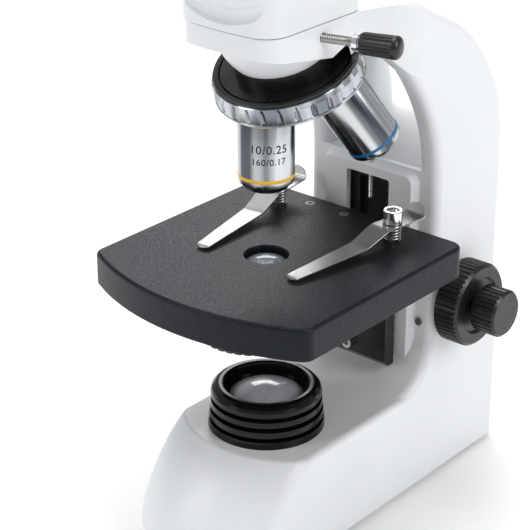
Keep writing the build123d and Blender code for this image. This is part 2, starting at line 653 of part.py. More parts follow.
with BuildPart() as stage_plate:
    extrude(stage_outline(STAGE_UNDER_Z, 0), amount=STAGE_H)
    fillet(stage_plate.faces().sort_by(Axis.Z)[-1].edges(), 1.6)
    extrude(stage_outline(STAGE_UNDER_Z, WALL), amount=STAGE_H - STAGE_TOP_T, mode=Mode.SUBTRACT)
    with BuildSketch(Plane.XZ):
        outline((0, BOSS_TOP_Z - 1), (LENS_R + 0.3, BOSS_TOP_Z - 1), (LENS_R + 0.3, STAGE_Z - 0.6),
                (LENS_R + 0.9, STAGE_Z), (0, STAGE_Z))
    revolve(axis=Axis.Z, mode=Mode.SUBTRACT)
    with BuildSketch(Plane.XY.offset(BOSS_TOP_Z)):
        with Locations(*STAGE_SCREWS):
            Circle(STAGE_SCREW_R + 0.1)
        with Locations(*STUDS):
            Circle(SCREW_R + 0.1)
    extrude(amount=STAGE_TOP_T, mode=Mode.SUBTRACT)
    with BuildSketch(Plane.XY.offset(STAGE_Z)):
        with Locations(*STAGE_SCREWS):
            Circle(STAGE_HEAD_R)
    extrude(amount=-1, taper=45, mode=Mode.SUBTRACT)
stage_plate.part.label = "stage_plate"
export_step(stage_plate.part, "parts/stage_plate.step")

with BuildPart() as stage_screws:
    with BuildSketch(Plane.XY.offset(STAGE_Z)):
        with Locations(*STAGE_SCREWS):
            Circle(STAGE_HEAD_R)
    extrude(amount=-1, taper=45)
    with BuildSketch(Plane.XY.offset(STAGE_Z - 0.8)):
        with Locations(*STAGE_SCREWS):
            Circle(STAGE_SCREW_R - FIT)
    extrude(amount=-11)
    with BuildSketch(Plane.XY.offset(STAGE_Z)):
        with Locations(*STAGE_SCREWS):
            Rectangle(2.6, 0.6)
            Rectangle(0.6, 2.6)
    extrude(amount=-0.6, mode=Mode.SUBTRACT)
stage_screws.part.label = "stage_screws"
export_step(stage_screws.part, "parts/stage_screws.step")

DISC_X = 9.0              # pivot of the diaphragm disc
DISC_Y = -17.0
DISC_R = 26.0
DISC_TOP_Z = 108.7
MOUNT_Z = DISC_TOP_Z + GAP
CONDENSER_SEAT_Z = 126.6
DISC_HOLES = (5.2, 4.2, 3.2, 2.2, 1.3)
RIM_NOTCHES = 40
DISC_PITCH_R = sqrt(DISC_X**2 + DISC_Y**2)

with BuildPart() as condenser_mount:
    with BuildSketch(Plane.XY.offset(MOUNT_Z)):
        Circle(15)
        with Locations((DISC_X, DISC_Y)):
            Circle(5)
        with Locations(Location((DISC_X / 2, DISC_Y / 2, 0), (0, 0, -62.1))):
            Rectangle(DISC_PITCH_R, 10)
    extrude(amount=7)
    with BuildSketch(Plane.XY.offset(MOUNT_Z)):
        Circle(15)
    extrude(amount=BOSS_TOP_Z - MOUNT_Z)
    with BuildSketch(Plane.XZ):
        outline((0, BOSS_TOP_Z), (LENS_R + 0.1, BOSS_TOP_Z), (LENS_R + 0.1, CONDENSER_SEAT_Z),
                (8, CONDENSER_SEAT_Z), (8, 123),
                (11, 120), (11, MOUNT_Z), (0, MOUNT_Z))
    revolve(axis=Axis.Z, mode=Mode.SUBTRACT)
    with BuildSketch(Plane.XY.offset(MOUNT_Z)):
        with Locations((DISC_X, DISC_Y)):
            Circle(SCREW_R)
    extrude(amount=7, mode=Mode.SUBTRACT)
condenser_mount.part.label = "condenser_mount"
export_step(condenser_mount.part, "parts/condenser_mount.step")

with BuildPart() as condenser_lens:
    revolve(lens_outline(LENS_R, CONDENSER_SEAT_Z, 129.4, 131.8), axis=Axis.Z)
condenser_lens.part.label = "condenser_lens"
export_step(condenser_lens.part, "parts/condenser_lens.step")

with BuildPart() as diaphragm_pivot:
    with BuildSketch(Plane.XY.offset(105.5)):
        with Locations((DISC_X, DISC_Y)):
            Circle(3.6)
    extrude(amount=1.6)
    with BuildSketch(Plane.XY.offset(107.1)):
        with Locations((DISC_X, DISC_Y)):
            Circle(SCREW_R - FIT)
    extrude(amount=8)
diaphragm_pivot.part.label = "diaphragm_pivot"
export_step(diaphragm_pivot.part, "parts/diaphragm_pivot.step")

with BuildPart() as diaphragm_disc:
    with BuildSketch(Plane.XY.offset(DISC_TOP_Z - 1.3)):
        with Locations(Location((DISC_X, DISC_Y, 0), (0, 0, 117.9))):
            Circle(DISC_R)
            Circle(SCREW_R, mode=Mode.SUBTRACT)
            for count, hole_r in enumerate(DISC_HOLES):
                with PolarLocations(DISC_PITCH_R, 1, start_angle=72 * count):
                    Circle(hole_r, mode=Mode.SUBTRACT)
            with PolarLocations(DISC_R + 0.4, RIM_NOTCHES):
                Circle(1, mode=Mode.SUBTRACT)
    extrude(amount=1.3)
diaphragm_disc.part.label = "diaphragm_disc"
export_step(diaphragm_disc.part, "parts/diaphragm_disc.step")

with BuildPart() as clip_studs:
    with BuildSketch(Plane.XY.offset(BOSS_TOP_Z)):
        with Locations(*STUDS):
            RegularPolygon(4, 6)
    extrude(amount=-3)
    with BuildSketch(Plane.XY.offset(BOSS_TOP_Z)):
        with Locations(*STUDS):
            Circle(SCREW_R)
    extrude(amount=STAGE_TOP_T + 10)
    with BuildSketch(Plane.XY.offset(CLIP_Z + 0.55)):
        with Locations(*STUDS):
            Circle(4.2)
    extrude(amount=6)
    fillet(clip_studs.edges().filter_by(GeomType.CIRCLE).group_by(Axis.Z)[-1], 0.8)
    with BuildSketch(Plane.XY.offset(CLIP_Z + 6.55)):
        with Locations(*STUDS):
            Circle(2.6)
    extrude(amount=-2.5, mode=Mode.SUBTRACT)
clip_studs.part.label = "clip_studs"
export_step(clip_studs.part, "parts/clip_studs.step")

SPRING_R = 3.4
SPRING_WIRE_R = 0.45
SPRING_H = CLIP_Z - CLIP_T / 2 - STAGE_Z - 2 * SPRING_WIRE_R - 0.1

for side, direction in (("right", 1), ("left", -1)):
    with BuildPart() as clip_spring:
        with BuildLine(Plane(origin=(direction * CLIP_X, CLIP_Y, STAGE_Z + SPRING_WIRE_R + 0.02))) as coil:
            Helix(pitch=SPRING_H / 5, height=SPRING_H, radius=SPRING_R)
        with BuildSketch(Plane(origin=coil.line @ 0, z_dir=coil.line % 0)):
            Circle(SPRING_WIRE_R)
        sweep(is_frenet=True)
    clip_spring.part.label = "clip_spring_" + side
    export_step(clip_spring.part, "parts/clip_spring_" + side + ".step")


def strip(points, thickness):
    """A thin strip of even thickness along a bent line, drawn in its side view."""
    upper = []
    lower = []
    for count, point in enumerate(points):
        here = Vector(*point)
        before = (here - Vector(*points[count - 1])).normalized() if count > 0 else None
        after = (Vector(*points[count + 1]) - here).normalized() if count < len(points) - 1 else None
        before = before or after
        after = after or before
        normal = Vector(-before.Y - after.Y, before.X + after.X).normalized()
        reach = thickness / 2 / normal.dot(Vector(-after.Y, after.X))
        upper.append(here + normal * reach)
        lower.append(here - normal * reach)
    Polygon(*upper, *reversed(lower), align=None)


CLIP_TIP = Vector(24.6, -13.9)
CLIP_BENDS = ((-16.4, CLIP_Z - STAGE_Z + 5.4), (-14.6, CLIP_Z - STAGE_Z), (8, CLIP_Z - STAGE_Z), (20.2, 3.2),
              (59.8, 1.2), (61.2, 0.75))

for side, direction in (("right", 1), ("left", -1)):
    along = Vector(direction * (CLIP_TIP.X - CLIP_X), CLIP_TIP.Y - CLIP_Y).normalized()
    pivot = Vector(direction * CLIP_X, CLIP_Y, STAGE_Z)
    with BuildPart() as clip:
        with BuildSketch(Plane(origin=pivot, x_dir=along, z_dir=(along.Y, -along.X, 0))):
            strip(CLIP_BENDS, CLIP_T)
        extrude(amount=6, both=True)
        with BuildSketch(Plane(origin=pivot, x_dir=along, z_dir=(0, 0, 1))) as plan:
            outline((-18, -5.5), (8, -5.5), (20.2, -5.4), (61.6, -3.2), (61.6, 3.2), (20.2, 5.4), (8, 5.5),
                    (-18, 5.5))
            fillet(plan.vertices().filter_by_position(Axis.X, 61, 62), 2.4)
            Circle(SCREW_R + FIT, mode=Mode.SUBTRACT)
        extrude(amount=20, mode=Mode.INTERSECT)
    clip.part.label = "clip_" + side
    export_step(clip.part, "parts/clip_" + side + ".step")

# ---- nosepiece ----------------------------------------------------------------------------------
OBJECTIVE_AXES = [Vector(0, 0, 1).rotate(Axis((0, 0, 0), TURRET_AXIS), angle) for angle in (0, 120, 240)]
SEAT = 45.0               # distance of an objective's shoulder from the apex
RING_FLUTES = 28

with BuildPart() as nosepiece_base:
    with BuildSketch(TURRET_PLANE):
        ring(3, 21, -33.5, -27.2)
        ring(3, 27.5, -36.9, -33.5)
    revolve(axis=TURRET_LINE)
    with BuildSketch(Plane.XY.offset(200)):
        Circle(7)
    extrude(amount=40, mode=Mode.SUBTRACT)
nosepiece_base.part.label = "nosepiece_base"
export_step(nosepiece_base.part, "parts/nosepiece_base.step")

with BuildPart() as turret_screw:
    with BuildSketch(TURRET_PLANE):
        ring(0, 3 - FIT, -47.3, -21)
        ring(0, 4.2, -49.3, -47.3)
    revolve(axis=TURRET_LINE)
turret_screw.part.label = "turret_screw"
export_step(turret_screw.part, "parts/turret_screw.step")


def objective_plane(axis):
    """A plane through an objective's axis, with its local Y pointing up the axis from the apex."""
    across = axis.cross(TURRET_AXIS).normalized()
    return Plane(origin=APEX, x_dir=across, z_dir=across.cross(axis))


with BuildPart() as turret:
    with BuildSketch(TURRET_PLANE):
        outline((3, -37.2), (28.3, -37.2), (28.3, -33.5), (30.5, -33.5), (30.5, -43.2), (28.6, -43.2),
                (28, -41.2), (3, -46.7))
    revolve(axis=TURRET_LINE)
    for axis in OBJECTIVE_AXES:
        with BuildSketch(objective_plane(axis)):
            ring(0, 12.1, -58, -SEAT)
            ring(0, 8, -SEAT, -34)
        revolve(axis=Axis(APEX, axis), mode=Mode.SUBTRACT)
turret.part.label = "turret"
export_step(turret.part, "parts/turret.step")

with BuildPart() as knurl_ring:
    with BuildSketch(TURRET_PLANE):
        outline((30.5, -34.7), (31.1, -34.7), (32.2, -36.4), (32.2, -43.4), (30.5, -43.4))
    revolve(axis=TURRET_LINE)
    with BuildSketch(Plane(origin=APEX - TURRET_AXIS * 44, z_dir=TURRET_AXIS)):
        with PolarLocations(32.9, RING_FLUTES):
            Circle(1.7)
    extrude(amount=12, mode=Mode.SUBTRACT)
knurl_ring.part.label = "knurl_ring"
export_step(knurl_ring.part, "parts/knurl_ring.step")

BAND = (-53.1, -52.0)     # brass band round the neck of each objective
NECK = ((6, -43), (7.9, -43), (7.9, -SEAT), (11.5, -SEAT), (11.5, BAND[1]), (11, BAND[1]),
        (11, BAND[0]), (12, BAND[0]))
OBJECTIVES = (
    ("objective_10", OBJECTIVE_AXES[0],
     ((12, -78), (11, -78), (11, -80), (12, -80), (11.6, -81.4), (9.6, -82.5), (6, -82.5)),
     (-80, -78),
     ((3, -79), (5.9, -79), (5.9, -82.5), (9.4, -82.5), (7, -84.7), (3, -84.7)), 3),
    ("objective_40", OBJECTIVE_AXES[1],
     ((12, -82), (11, -82), (11, -83.7), (12, -83.7), (11.4, -85.2), (8.2, -86), (6, -86)),
     (-83.7, -82),
     ((1.6, -80), (5.9, -80), (5.9, -86), (6.4, -86), (6, -88.5), (4, -91), (1.6, -91)), 1.6),
    ("objective_4", OBJECTIVE_AXES[2],
     ((12, -60), (11, -60), (11, -61.7), (12, -61.7), (11.6, -63.2), (9.6, -64.4), (6, -64.4)),
     (-61.7, -60),
     ((5, -62), (5.9, -62), (5.9, -64.4), (9.2, -64.4), (8, -66), (5, -66)), 5),
)

for name, axis, shell, band, nose, glass_r in OBJECTIVES:
    plane = objective_plane(axis)
    line = Axis(APEX, axis)
    with BuildPart() as objective:
        with BuildSketch(plane):
            outline(*NECK, *shell)
        revolve(axis=line)
    objective.part.label = name
    export_step(objective.part, "parts/" + name + ".step")

    with BuildPart() as colour_ring:
        with BuildSketch(plane):
            ring(11, 12.1, *band)
        revolve(axis=line)
    colour_ring.part.label = name + "_ring"
    export_step(colour_ring.part, "parts/" + name + "_ring.step")

    with BuildPart() as objective_nose:
        with BuildSketch(plane):
            outline(*nose)
        revolve(axis=line)
    objective_nose.part.label = name + "_nose"
    export_step(objective_nose.part, "parts/" + name + "_nose.step")

with BuildPart() as objective_bands:
    for axis in OBJECTIVE_AXES:
        with BuildSketch(objective_plane(axis)):
            ring(11, 12.2, *BAND)
        revolve(axis=Axis(APEX, axis))
objective_bands.part.label = "objective_bands"
export_step(objective_bands.part, "parts/objective_bands.step")

with BuildPart() as objective_lenses:
    for name, axis, shell, band, nose, glass_r in OBJECTIVES:
        with BuildSketch(objective_plane(axis)):
            ring(0, glass_r, nose[-1][1] + 0.3, nose[-1][1] + 1.5)
        revolve(axis=Axis(APEX, axis))
objective_lenses.part.label = "objective_lenses"
export_step(objective_lenses.part, "parts/objective_lenses.step")

# ---- head ---------------------------------------------------------------------------------------
HEAD_Z = SEAM_Z + 0.7
HEAD_HALF_W = 25.5
HEAD_BACK_Y = 34.0
LEAN_Z = 250.0            # above this height the front leans towards the observer
LEAN = -0.26
GROOVE_R = 45.7           # curved groove across the front
TUBE_R = 15.0
TUBE_BORE_R = 11.6
TUBE_START = 26.1
TUBE_END = 75.0

with BuildSketch() as head_plan:
    with BuildLine():
        ThreePointArc((-HEAD_HALF_W, -27), (0, -29), (HEAD_HALF_W, -27))
        Polyline((HEAD_HALF_W, -27), (HEAD_HALF_W, HEAD_BACK_Y), (-HEAD_HALF_W, HEAD_BACK_Y),
                 (-HEAD_HALF_W, -27))
    make_face()
    fillet(head_plan.vertices(), 11)

with BuildPart() as head_block:
    with BuildSketch(Plane.YZ.offset(-HEAD_HALF_W)) as side:
        outline((-40, HEAD_Z), (HEAD_BACK_Y, HEAD_Z), (HEAD_BACK_Y, 262), (-3.6, 298.2), (-40, 261.8))
        fillet(side.vertices().filter_by_position(Axis.Y, 261.9, 262.1), 8)
        fillet(side.vertices().sort_by(Axis.Y)[-1], 5)
    extrude(amount=2 * HEAD_HALF_W)
    fillet(head_block.faces().filter_by(Axis.X).edges().filter_by(lambda e: e.center().Z > 252), 4)

with BuildPart() as head_housing:
    with BuildSketch(Plane.XY.offset(HEAD_Z)):
        add(head_plan.sketch_local)
    extrude(amount=80)
    with BuildSketch(Plane.XY.offset(LEAN_Z)):
        add(head_plan.sketch_local)
    extrude(amount=60, dir=(0, LEAN, 1))
    add(head_block.part, mode=Mode.INTERSECT)
    with BuildSketch(Plane.YZ):
        with Locations((-30, PIVOT_Z + 26 - GROOVE_R)):
            Circle(3.6)
    revolve(axis=Axis((0, 0, PIVOT_Z + 26), (0, 1, 0)), mode=Mode.SUBTRACT)
    with BuildSketch(Plane.YZ.offset(-19)):
        outline((-14, 250), (26, 250), (26, 260), (-3.6, 289), (-23, 269.5), (-14, 257))
    extrude(amount=38, mode=Mode.SUBTRACT)
    with BuildSketch(Plane.XZ):
        ring(0, SOCKET_R - FIT, SOCKET_Z + GAP, HEAD_Z + 1)
    revolve(axis=Axis.Z)
    with BuildSketch(Plane.XZ):
        ring(0, 8.5, SOCKET_Z, 255)
    revolve(axis=Axis.Z, mode=Mode.SUBTRACT)
    with BuildSketch(TUBE_PLANE):
        ring(0, 13.5, 12, TUBE_START + 1)
    revolve(axis=TUBE_LINE, mode=Mode.SUBTRACT)
head_housing.part.label = "head_housing"
export_step(head_housing.part, "parts/head_housing.step")

with BuildPart() as prism:
    with BuildSketch(Plane.YZ.offset(-19)):
        outline((-9, 257), (9, 257), (9, 263), (-2, 276), (-12, 268))
    extrude(amount=38)
prism.part.label = "prism"
export_step(prism.part, "parts/prism.step")

with BuildPart() as eyepiece_tube:
    with BuildSketch(TUBE_PLANE):
        ring(TUBE_BORE_R, 13.5, 19, TUBE_START)
        ring(TUBE_BORE_R, TUBE_R, TUBE_START, TUBE_END)
    revolve(axis=TUBE_LINE)
eyepiece_tube.part.label = "eyepiece_tube"
export_step(eyepiece_tube.part, "parts/eyepiece_tube.step")

with BuildPart() as eyepiece_body:
    with BuildSketch(TUBE_PLANE):
        outline((9, 40), (TUBE_BORE_R - FIT, 40), (TUBE_BORE_R - FIT, TUBE_END + GAP),
                (16, TUBE_END + GAP), (16, 90), (13.4, 92.5), (7.5, 92.5), (7.5, 89), (9, 88))
    revolve(axis=TUBE_LINE)
eyepiece_body.part.label = "eyepiece_body"
export_step(eyepiece_body.part, "parts/eyepiece_body.step")

with BuildPart() as eyecup:
    with BuildSketch(TUBE_PLANE):
        outline((13.4, 92.5), (16, 90), (16.8, 90), (16.8, 97), (16.2, 100), (14.6, 100), (13.4, 97))
    revolve(axis=TUBE_LINE)
eyecup.part.label = "eyecup"
export_step(eyecup.part, "parts/eyecup.step")

with BuildPart() as eyepiece_lenses:
    with BuildSketch(TUBE_PLANE):
        ring(0, 7.5, 89.6, 91.6)
        ring(0, 9, 44, 47)
    revolve(axis=TUBE_LINE)
eyepiece_lenses.part.label = "eyepiece_lenses"
export_step(eyepiece_lenses.part, "parts/eyepiece_lenses.step")

LOCK_KNOB_R = 4.9

with BuildPart() as lock_screw:
    with BuildSketch(LOCK_PLANE):
        ring(0, 2, 17.9, 47)
        ring(0, 3.6, 38.9, 42)
    revolve(axis=LOCK_LINE)
lock_screw.part.label = "lock_screw"
export_step(lock_screw.part, "parts/lock_screw.step")

with BuildPart() as lock_knob:
    with BuildSketch(LOCK_PLANE):
        ring(2, LOCK_KNOB_R, 42, 47)
        ring(0, LOCK_KNOB_R, 47, 59.5)
    revolve(axis=LOCK_LINE)
    with BuildSketch(Plane(origin=Vector(0, LOCK_Y, LOCK_Z) + LOCK_DIR * 41, z_dir=LOCK_DIR)):
        with PolarLocations(LOCK_KNOB_R + 0.35, 10):
            Circle(0.9)
    extrude(amount=20, mode=Mode.SUBTRACT)
lock_knob.part.label = "lock_knob"
export_step(lock_knob.part, "parts/lock_knob.step")
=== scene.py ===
import json
from math import cos, pi, radians, sin

import bmesh
import bpy
from mathutils import Matrix, Vector


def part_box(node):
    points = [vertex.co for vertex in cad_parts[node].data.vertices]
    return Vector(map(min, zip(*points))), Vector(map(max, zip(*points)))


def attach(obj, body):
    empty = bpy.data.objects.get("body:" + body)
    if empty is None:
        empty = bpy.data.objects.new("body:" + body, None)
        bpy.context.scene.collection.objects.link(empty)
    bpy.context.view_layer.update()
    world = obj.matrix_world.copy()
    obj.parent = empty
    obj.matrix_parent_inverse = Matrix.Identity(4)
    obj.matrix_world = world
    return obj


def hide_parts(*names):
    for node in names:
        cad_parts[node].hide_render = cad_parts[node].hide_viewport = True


# ---- camera: the photo's viewing angle ----------------------------------------------------------
CAMERA_LENS = 123.05
CAMERA_AIM = Vector((0.0, 0.0, 0.12777))
CAMERA_DISTANCE = 0.7732
CAMERA_AZIMUTH = radians(40.2)
CAMERA_PITCH = radians(24.99)
CAMERA_SHIFT = -1.35 / 530

camera_data = bpy.data.cameras.new("camera")
camera = bpy.data.objects.new("camera", camera_data)
bpy.context.scene.collection.objects.link(camera)
towards = Vector((sin(CAMERA_AZIMUTH) * cos(CAMERA_PITCH), -cos(CAMERA_AZIMUTH) * cos(CAMERA_PITCH),
                  sin(CAMERA_PITCH)))
camera.location = CAMERA_AIM + towards * CAMERA_DISTANCE
camera.rotation_euler = (-towards).to_track_quat("-Z", "Y").to_euler()
camera_data.lens = CAMERA_LENS
camera_data.sensor_width = 36
camera_data.shift_x = CAMERA_SHIFT
camera_data.clip_end = 50
bpy.context.scene.camera = camera
bpy.context.scene.view_settings.view_transform = "Standard"

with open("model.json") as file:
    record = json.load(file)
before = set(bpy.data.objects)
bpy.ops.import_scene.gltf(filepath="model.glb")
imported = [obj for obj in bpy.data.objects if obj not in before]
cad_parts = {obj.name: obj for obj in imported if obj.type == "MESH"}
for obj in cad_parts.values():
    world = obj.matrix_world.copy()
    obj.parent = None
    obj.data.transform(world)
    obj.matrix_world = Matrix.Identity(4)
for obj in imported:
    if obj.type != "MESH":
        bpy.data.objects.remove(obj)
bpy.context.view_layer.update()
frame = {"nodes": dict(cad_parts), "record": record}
nodes = frame["nodes"]


# ---- materials ----------------------------------------------------------------------------------
STREAKS = 110             # noise scale of the painted reflection streaks in the colour of turned metal
NOSEPIECE_TILT = radians(20.4)
NOSEPIECE_AXIS = Vector((0, -sin(NOSEPIECE_TILT), cos(NOSEPIECE_TILT)))


class Shader:
    """A Principled material whose colour, roughness and bump come from noise in the part's own space."""

    def __init__(self, name, **sockets):
        self.material = bpy.data.materials.new(name)
        self.material.use_nodes = True
        self.tree = self.material.node_tree
        self.bsdf = self.tree.nodes["Principled BSDF"]
        self.place = self.tree.nodes.new("ShaderNodeTexCoord").outputs["Object"]
        self.height = None
        for socket, value in sockets.items():
            self.bsdf.inputs[socket.replace("_", " ")].default_value = value

    def link(self, source, target):
        self.tree.links.new(source, target)

    def noise(self, scale, detail=3.0, stretch=(1, 1, 1)):
        mapping = self.tree.nodes.new("ShaderNodeMapping")
        mapping.inputs["Scale"].default_value = stretch
        self.link(self.place, mapping.inputs["Vector"])
        texture = self.tree.nodes.new("ShaderNodeTexNoise")
        texture.inputs["Scale"].default_value = scale
        texture.inputs["Detail"].default_value = detail
        self.link(mapping.outputs["Vector"], texture.inputs["Vector"])
        return texture.outputs["Fac"]

    def cells(self, scale, feature="F1"):
        texture = self.tree.nodes.new("ShaderNodeTexVoronoi")
        texture.feature = feature
        texture.inputs["Scale"].default_value = scale
        self.link(self.place, texture.inputs["Vector"])
        return texture.outputs["Distance"]

    def spread(self, source, low, high, start=0.3, end=0.7):
        remap = self.tree.nodes.new("ShaderNodeMapRange")
        remap.inputs["From Min"].default_value = start
        remap.inputs["From Max"].default_value = end
        remap.inputs["To Min"].default_value = low
        remap.inputs["To Max"].default_value = high
        self.link(source, remap.inputs["Value"])
        return remap.outputs["Result"]

    def colours(self, source, first, second, start=0.3, end=0.7):
        ramp = self.tree.nodes.new("ShaderNodeValToRGB")
        ramp.color_ramp.elements[0].position = start
        ramp.color_ramp.elements[0].color = (*first, 1)
        ramp.color_ramp.elements[1].position = end
        ramp.color_ramp.elements[1].color = (*second, 1)
        self.link(source, ramp.inputs["Fac"])
        self.link(ramp.outputs["Color"], self.bsdf.inputs["Base Color"])

    def roughness(self, source, low, high):
        self.link(self.spread(source, low, high), self.bsdf.inputs["Roughness"])

    def bump(self, source, depth, strength=1.0):
        bump = self.tree.nodes.new("ShaderNodeBump")
        bump.inputs["Strength"].default_value = strength
        bump.inputs["Distance"].default_value = depth
        self.link(source, bump.inputs["Height"])
        if self.height is not None:
            self.link(self.height, bump.inputs["Normal"])
        self.height = bump.outputs["Normal"]
        self.link(self.height, self.bsdf.inputs["Normal"])


def paint(name, first, second, low, high, peel=0.00002):
    shader = Shader(name, Specular_IOR_Level=0.5)
    shader.colours(shader.noise(30), first, second)
    shader.roughness(shader.noise(60), low, high)
    shader.bump(shader.noise(900, 2), peel, 0.5)
    return shader.material


def plastic(name, first, second, low, high, grain=0.00002, grain_scale=2500, specular=0.5):
    shader = Shader(name, Specular_IOR_Level=specular)
    shader.colours(shader.noise(80), first, second)
    shader.roughness(shader.noise(200), low, high)
    shader.bump(shader.noise(grain_scale, 2), grain, 0.6)
    return shader.material


def metal(name, first, second, low, high, stretch=(1, 1, 1), scale=500, depth=0.000006):
    shader = Shader(name, Metallic=1.0)
    shader.colours(shader.noise(120), first, second)
    lines = shader.noise(scale, 4, stretch)
    shader.roughness(lines, low, high)
    shader.bump(lines, depth, 0.5)
    return shader.material


def turned_metal(name, axis, reflection_dark, reflection_bright):
    """Polished metal whose colour carries painted reflection streaks along an axis, its highlights drawn out
    along the same axis.
    """
    shader = Shader(name, Metallic=1.0, Anisotropic=0.85)
    direction = shader.tree.nodes.new("ShaderNodeCombineXYZ")
    for socket, value in zip("XYZ", axis):
        direction.inputs[socket].default_value = value
    turn = shader.tree.nodes.new("ShaderNodeVectorTransform")
    turn.vector_type = "VECTOR"
    turn.convert_from = "OBJECT"
    turn.convert_to = "WORLD"
    shader.link(direction.outputs["Vector"], turn.inputs["Vector"])
    shader.link(turn.outputs["Vector"], shader.bsdf.inputs["Tangent"])
    along = shader.tree.nodes.new("ShaderNodeVectorMath")
    along.operation = "PROJECT"
    shader.link(shader.place, along.inputs[0])
    shader.link(direction.outputs["Vector"], along.inputs[1])
    radial = shader.tree.nodes.new("ShaderNodeVectorMath")
    radial.operation = "SUBTRACT"
    shader.link(shader.place, radial.inputs[0])
    shader.link(along.outputs[0], radial.inputs[1])
    shader.place = radial.outputs[0]
    # colour runs from dark to bright in streaks round the axis: painted reflections
    shader.colours(shader.noise(STREAKS, 2), reflection_dark, reflection_bright, 0.39, 0.59)
    shader.roughness(shader.noise(4 * STREAKS, 2), 0.16, 0.24)
    return shader.material


def stage_coating():
    shader = Shader("stage_coating", Specular_IOR_Level=0.24)
    shader.bsdf.inputs["Specular Tint"].default_value = (0.82, 0.88, 1.0, 1)
    shader.colours(shader.noise(150), (0.0032, 0.0038, 0.0050), (0.0062, 0.0072, 0.0090))
    shader.roughness(shader.noise(700), 0.31, 0.43)
    shader.bump(shader.cells(1600), 0.00018, 0.6)
    shader.bump(shader.noise(3600, 3), 0.00005, 0.5)
    return shader.material


def frosted():
    shader = Shader("frosted", Coat_Weight=0.8, Coat_Roughness=0.04)
    shader.colours(shader.noise(200), (0.36, 0.37, 0.39), (0.42, 0.43, 0.45))
    shader.roughness(shader.noise(800), 0.18, 0.3)
    shader.bump(shader.noise(5000, 2), 0.00001, 0.4)
    return shader.material


def lens_glass():
    """Lens seen over a closed barrel: clear, with a pale coating."""
    shader = Shader("lens_glass", Transmission_Weight=0.45, IOR=1.5)
    shader.colours(shader.noise(100), (0.30, 0.33, 0.38), (0.36, 0.39, 0.44))
    shader.roughness(shader.noise(300), 0.05, 0.1)
    return shader.material


def glass():
    shader = Shader("glass", Transmission_Weight=1.0, IOR=1.5)
    shader.colours(shader.noise(100), (0.93, 0.96, 0.97), (0.97, 0.99, 1.0))
    shader.roughness(shader.noise(300), 0.0, 0.03)
    return shader.material


WHITE = paint("white_paint", (0.74, 0.75, 0.76), (0.77, 0.78, 0.79), 0.32, 0.42)
BLACK_STEEL = paint("black_steel", (0.004, 0.0042, 0.0048), (0.007, 0.0073, 0.008), 0.22, 0.32, 0.00001)
GUIDE_STEEL = paint("guide_steel", (0.035, 0.036, 0.040), (0.050, 0.051, 0.056), 0.25, 0.35, 0.00001)
STAGE = stage_coating()
BLACK_GLOSS = plastic("black_gloss", (0.003, 0.003, 0.0035), (0.005, 0.005, 0.006), 0.12, 0.18, 0.000002,
                      specular=0.25)
BLACK_PLASTIC = plastic("black_plastic", (0.004, 0.004, 0.0045), (0.008, 0.008, 0.009), 0.26, 0.38, 0.000008)
RUBBER = plastic("rubber", (0.012, 0.012, 0.012), (0.02, 0.02, 0.02), 0.65, 0.8, 0.00004)
BOARD = plastic("led_board", (0.75, 0.75, 0.7), (0.82, 0.82, 0.78), 0.4, 0.5)
STEEL = metal("steel", (0.50, 0.50, 0.50), (0.62, 0.62, 0.61), 0.16, 0.28, depth=0.000001)
THREAD_STEEL = metal("thread_steel", (0.28, 0.27, 0.26), (0.40, 0.39, 0.37), 0.2, 0.3, depth=0.000001)
SCREW_STEEL = metal("screw_steel", (0.16, 0.16, 0.17), (0.24, 0.24, 0.25), 0.45, 0.55, depth=0.000001)
CLIP_STEEL = metal("clip_steel", (0.34, 0.335, 0.325), (0.43, 0.425, 0.415), 0.28, 0.36, (1, 0.06, 1), 900,
                   0.0000008)
CHROME = metal("chrome", (0.76, 0.76, 0.77), (0.82, 0.82, 0.83), 0.06, 0.1, (1, 1, 8), 300, 0.0000004)
ALUMINIUM = metal("aluminium", (0.66, 0.67, 0.69), (0.74, 0.75, 0.77), 0.16, 0.24, (1, 1, 1), 300, 0.0000006)
# the ring's dark to bright colour streaks are painted reflections
RING_METAL = turned_metal("ring_metal", NOSEPIECE_AXIS, (0.20, 0.22, 0.24), (0.54, 0.57, 0.60))
BRASS = metal("brass", (0.62, 0.45, 0.18), (0.74, 0.56, 0.25), 0.15, 0.28)
YELLOW = plastic("yellow", (0.75, 0.42, 0.01), (0.85, 0.50, 0.02), 0.25, 0.35, 0.000004)
BLUE = plastic("blue", (0.004, 0.10, 0.26), (0.006, 0.13, 0.32), 0.25, 0.35, 0.000004)
RED = plastic("red", (0.5, 0.01, 0.01), (0.6, 0.02, 0.02), 0.25, 0.35, 0.000004)
FROSTED = frosted()
GLASS = glass()

BY_SLOT = {
    "white_paint": WHITE, "black_steel": BLACK_STEEL, "black_gloss": BLACK_GLOSS,
    "black_plastic": BLACK_PLASTIC, "stage_finish": STAGE, "rubber": RUBBER, "steel": STEEL,
    "chrome": CHROME, "aluminium": ALUMINIUM, "brass": BRASS, "yellow": YELLOW, "blue": BLUE, "red": RED,
    "frosted": FROSTED, "led_board": BOARD, "glass": GLASS,
}
SLOTS = {part["node"]: part["material_slot"] for part in frame["record"]["subparts"]}
for name, node in nodes.items():
    node.data.materials.clear()
    node.data.materials.append(BY_SLOT[SLOTS[name]])
nodes["condenser_lens"].data.materials[0] = lens_glass()
nodes["slide_guide"].data.materials[0] = GUIDE_STEEL
nodes["stage_screws"].data.materials[0] = SCREW_STEEL

# ---- pieces with finer shape than the CAD nodes -------------------------------------------------
MM = 0.001
WELD = 1e-7               # points closer than this are one point
APEX = Vector((0, 0, 247.5)) * MM


def link_object(name, data):
    made = bpy.data.objects.new(name, data)
    bpy.context.scene.collection.objects.link(made)
    return made


def closed_mesh(name, points, faces):
    """A mesh with its doubled points joined and its faces turned outward."""
    mesh = bpy.data.meshes.new(name)
    mesh.from_pydata(points, [], faces)
    work = bmesh.new()
    work.from_mesh(mesh)
    bmesh.ops.remove_doubles(work, verts=work.verts, dist=WELD)
    bmesh.ops.recalc_face_normals(work, faces=work.faces)
    work.to_mesh(mesh)
    work.free()
    return mesh


